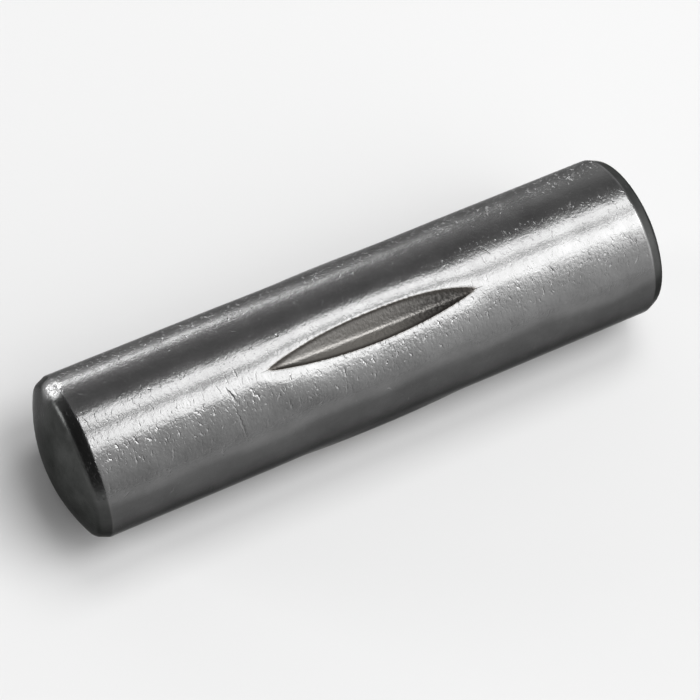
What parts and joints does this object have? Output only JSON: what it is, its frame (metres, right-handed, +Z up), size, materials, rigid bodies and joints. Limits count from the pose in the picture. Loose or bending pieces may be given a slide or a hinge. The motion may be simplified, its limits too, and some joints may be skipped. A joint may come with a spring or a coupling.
{
  "type": "grooved pin",
  "caption": "Cylindrical steel pin with crowned, chamfered ends and V grooves with raised flanks pressed lengthwise into its middle third.",
  "frame": {"origin": "middle of the pin's axis, which is its centre of mass", "axes": "+X along the pin, +Z up, with the pin lying on its plain arc against the stop of one raised flank"},
  "size_m": [0.0316, 0.0081, 0.0081],
  "materials": {
    "steel": "bright drawn and ground steel, tumbled, with fine nicks and scratches"
  },
  "bodies": {
    "root": {"grooved_pin": "steel"}
  },
  "joints": []
}
